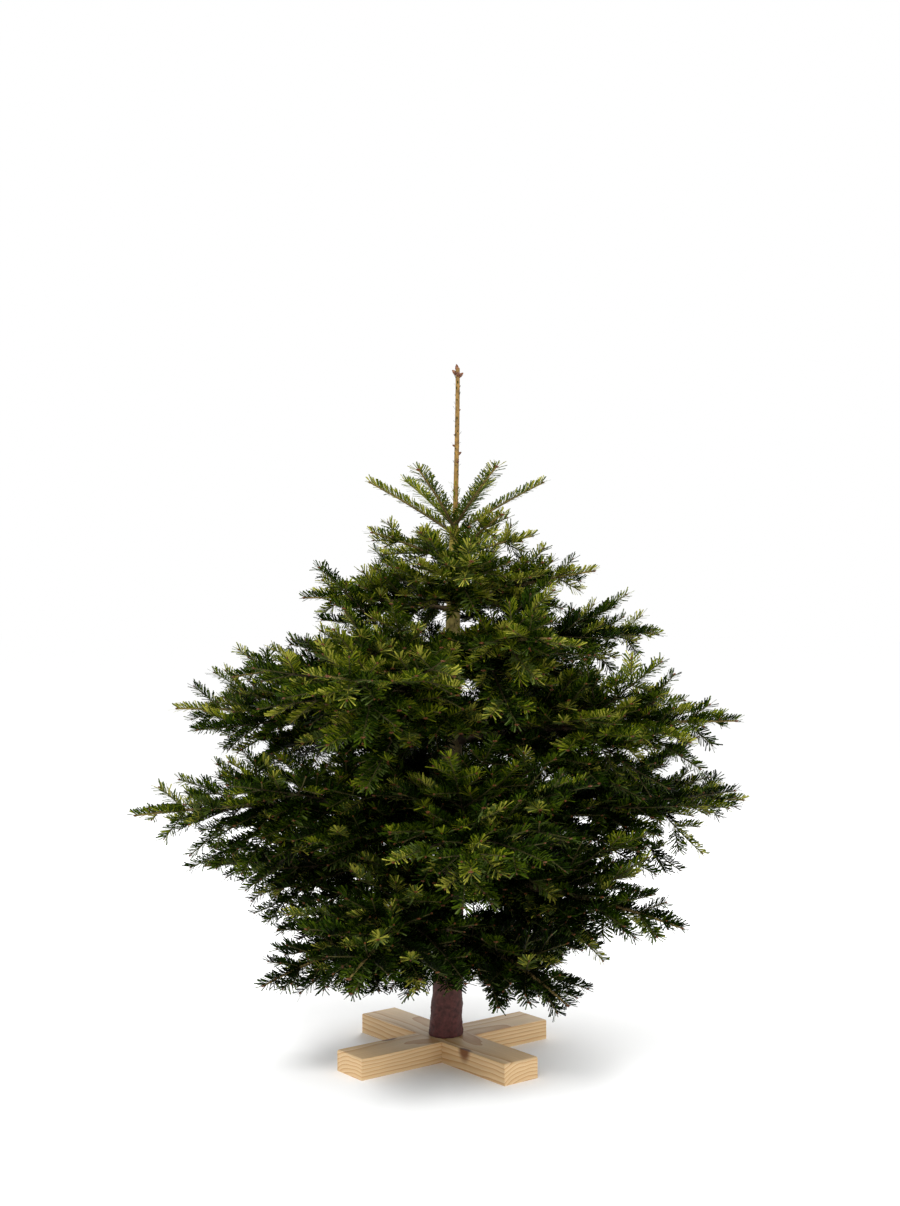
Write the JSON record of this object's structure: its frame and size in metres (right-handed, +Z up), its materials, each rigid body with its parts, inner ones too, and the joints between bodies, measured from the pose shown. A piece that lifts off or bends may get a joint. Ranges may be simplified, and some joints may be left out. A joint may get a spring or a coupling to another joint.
{
  "type": "cut christmas tree on a board cross stand",
  "caption": "Cut fir tree with a straight tapering trunk, a bare leader and whorls of dense needle-clad boughs, held upright on a low cross of lapped wooden boards.",
  "frame": {"origin": "middle of the stand's flat underside, on the floor, under the foot of the trunk", "axes": "+Z up along the trunk, +X to the right and +Y away as the tree is seen from its front"},
  "size_m": [1.381, 1.3448, 1.5453],
  "materials": {
    "trunk_bark": "rough grey-brown bark",
    "bough_bark": "thin smooth bark",
    "needles": "dark glossy needles",
    "young_needles": "lighter glossy needles",
    "stand_wood": "sawn softwood",
    "screw_steel": "zinc plated"
  },
  "bodies": {
    "root": {"stand_lower_board": "stand_wood", "stand_upper_board": "stand_wood", "stand_screw_1": "screw_steel", "stand_screw_2": "screw_steel", "trunk": "trunk_bark", "foliage_1_1": "young_needles", "foliage_1_2": "young_needles", "foliage_1_3": "young_needles", "foliage_1_4": "young_needles", "foliage_1_5": "young_needles", "foliage_1_6": "young_needles", "foliage_2_1": "young_needles", "foliage_2_2": "young_needles", "foliage_2_3": "young_needles", "foliage_2_4": "young_needles", "foliage_3_1": "young_needles", "foliage_3_2": "young_needles", "foliage_3_3": "young_needles", "foliage_3_4": "young_needles", "foliage_3_5": "young_needles", "bough_4_1": "bough_bark", "foliage_4_1": "needles", "bough_4_2": "bough_bark", "foliage_4_2": "needles", "bough_4_3": "bough_bark", "foliage_4_3": "needles", "bough_4_4": "bough_bark", "foliage_4_4": "needles", "bough_5_1": "bough_bark", "foliage_5_1": "needles", "bough_5_2": "bough_bark", "foliage_5_2": "needles", "bough_5_3": "bough_bark", "foliage_5_3": "needles", "bough_5_4": "bough_bark", "foliage_5_4": "needles", "bough_6_1": "bough_bark", "foliage_6_1": "needles", "bough_6_2": "bough_bark", "foliage_6_2": "needles", "bough_6_3": "bough_bark", "foliage_6_3": "needles", "bough_6_4": "bough_bark", "foliage_6_4": "needles", "bough_7_1": "bough_bark", "foliage_7_1": "needles", "bough_7_2": "bough_bark", "foliage_7_2": "needles", "bough_7_3": "bough_bark", "foliage_7_3": "needles", "bough_7_4": "bough_bark", "foliage_7_4": "needles", "bough_8_1": "bough_bark", "foliage_8_1": "needles", "bough_8_2": "bough_bark", "foliage_8_2": "needles", "bough_8_3": "bough_bark", "foliage_8_3": "needles", "bough_8_4": "bough_bark", "foliage_8_4": "needles"}
  },
  "joints": []
}
